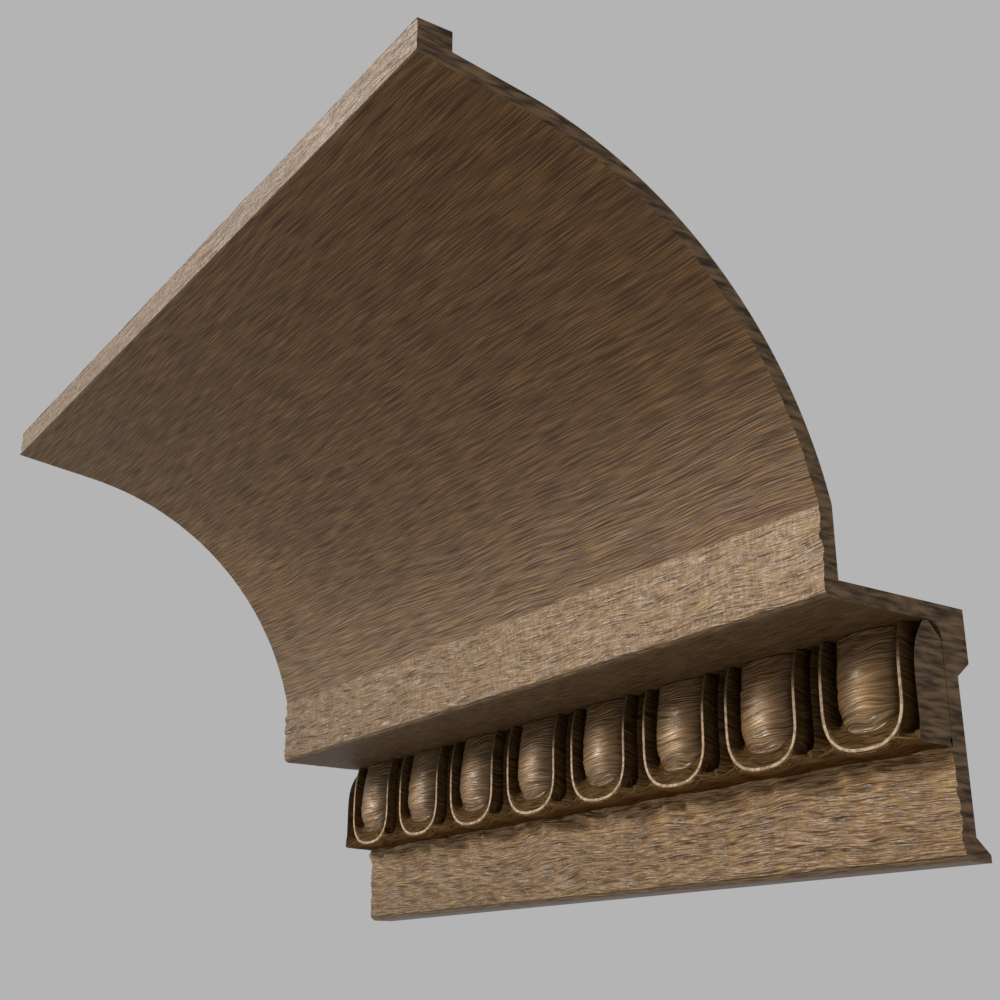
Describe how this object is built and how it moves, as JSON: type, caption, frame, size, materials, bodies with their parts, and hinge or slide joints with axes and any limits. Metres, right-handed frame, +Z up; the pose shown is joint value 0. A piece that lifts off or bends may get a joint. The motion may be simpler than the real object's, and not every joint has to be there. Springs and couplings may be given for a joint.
{
  "type": "oak cornice moulding",
  "caption": "Coved wooden cornice length with a flat frieze below and a carved egg-and-dart bead planted under its soffit, cut square at both ends.",
  "frame": {"origin": "middle of the flat upper bearing that goes against the wall, behind the frieze's top and the soffit", "axes": "+X along the run, +Y out of the back into the wall, -Y into the room, +Z up towards the ceiling"},
  "size_m": [0.3, 0.1751, 0.1806],
  "materials": {
    "run_oak": "brown stained and waxed oak, satin",
    "carved_oak": "brown stained and waxed oak, carved, satin"
  },
  "bodies": {
    "root": {"cornice": "run_oak", "egg_and_dart_strip": "carved_oak"}
  },
  "joints": []
}
